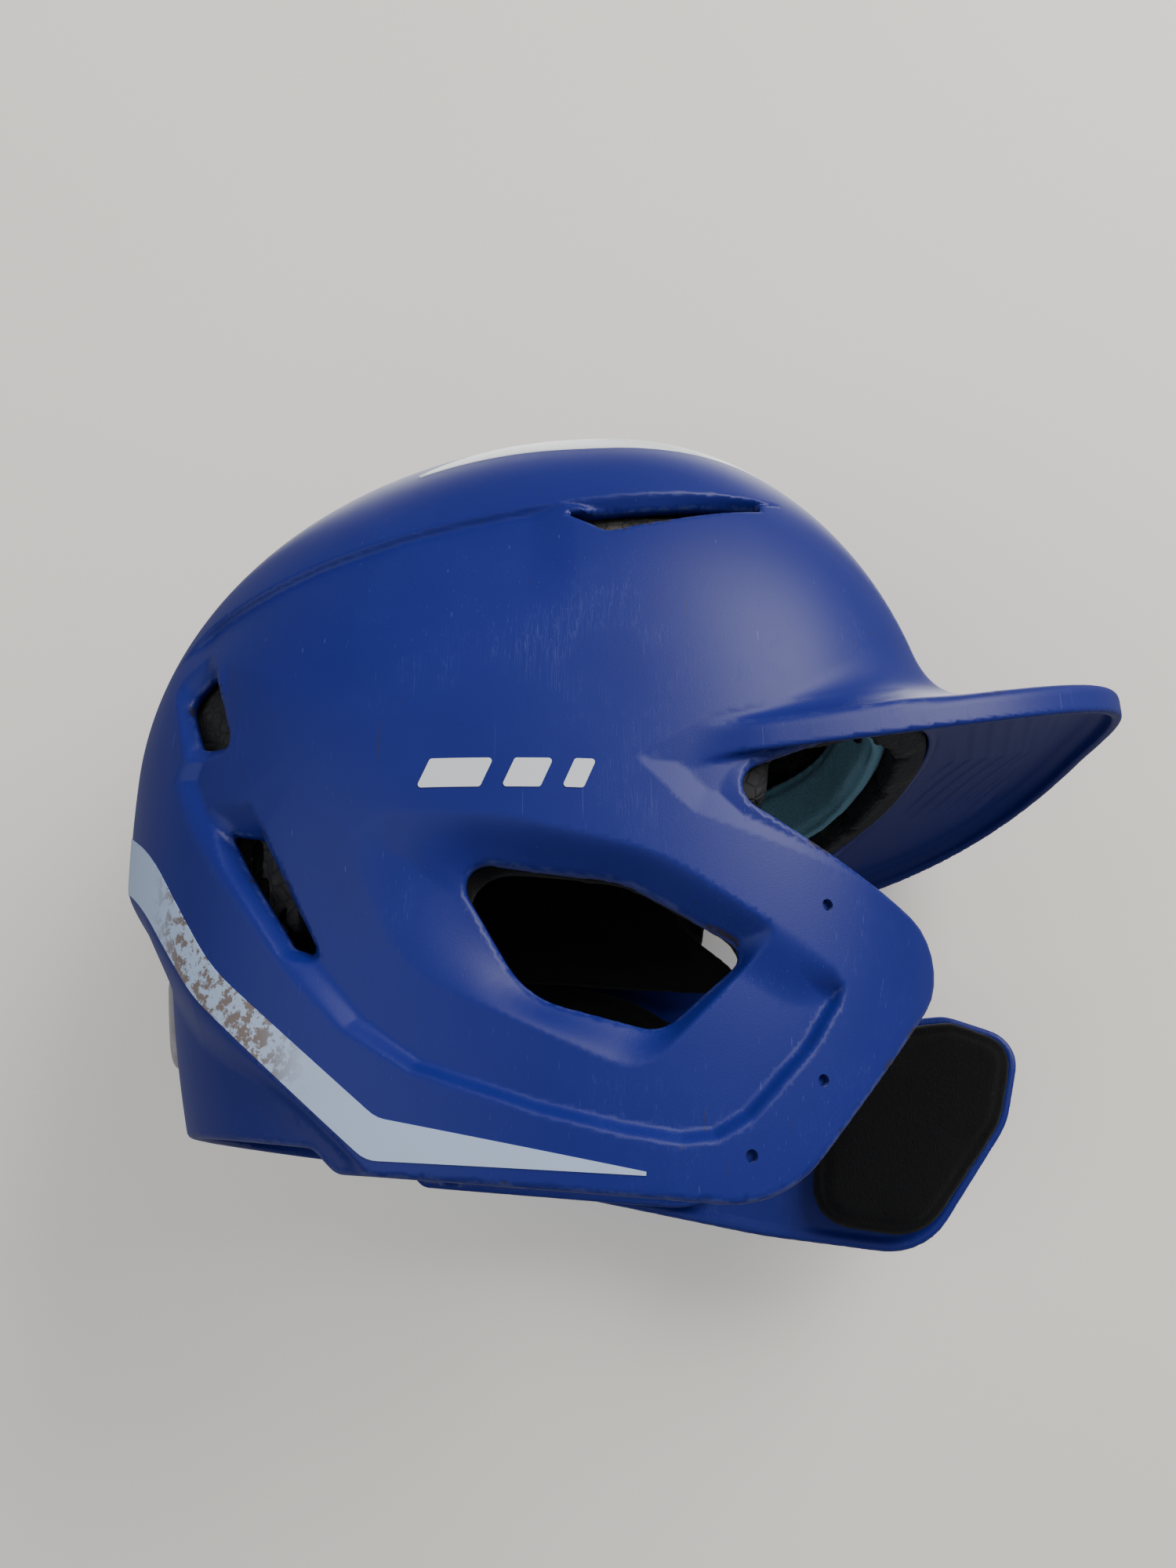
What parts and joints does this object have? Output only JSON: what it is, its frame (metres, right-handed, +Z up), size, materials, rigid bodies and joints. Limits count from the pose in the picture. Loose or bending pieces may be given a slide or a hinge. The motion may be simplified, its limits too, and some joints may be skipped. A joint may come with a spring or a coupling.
{
  "type": "batting helmet",
  "caption": "Batting helmet: rigid dome shell with brim, vented sides and open ear flaps, foam liner and pads, and a padded jaw guard bolted to the left flap.",
  "frame": {"origin": "on the midline, under the dome's widest point, on the level of the jaw guard's lowest edge, which the helmet stands on", "axes": "+X forwards, the way the brim points; +Y to the wearer's left, the side that has the jaw guard; +Z up to the crown"},
  "size_m": [0.2912, 0.1914, 0.2419],
  "materials": {
    "shell_plastic": "semi-matte moulded ABS, scuffed",
    "liner_foam": "moulded closed-cell foam",
    "brow_foam": "brushed wicking cloth over foam",
    "pad_cloth": "black brushed cloth over foam",
    "screw_steel": "black oxide steel",
    "washer_nylon": "black nylon",
    "nut_steel": "zinc plated steel",
    "decal_white": "satin vinyl, dirty",
    "badge_white": "moulded white plastic",
    "badge_red": "moulded red plastic"
  },
  "bodies": {
    "root": {"shell": "shell_plastic", "jaw_guard": "shell_plastic", "liner_front": "liner_foam", "liner_crown": "liner_foam", "liner_rear": "liner_foam", "liner_left": "liner_foam", "liner_right": "liner_foam", "brow_pad": "brow_foam", "rear_pad": "pad_cloth", "crown_pad": "pad_cloth", "left_temple_pad": "pad_cloth", "right_temple_pad": "pad_cloth", "left_ear_pad": "pad_cloth", "right_ear_pad": "pad_cloth", "jaw_guard_pad": "pad_cloth", "guard_screws": "screw_steel", "guard_washers": "washer_nylon", "guard_tee_nuts": "nut_steel", "rear_badge": "badge_white", "badge_inlay": "badge_red", "rear_stripe": "decal_white", "crown_stripes": "decal_white", "left_side_bars": "decal_white", "right_side_bars": "decal_white"}
  },
  "joints": []
}
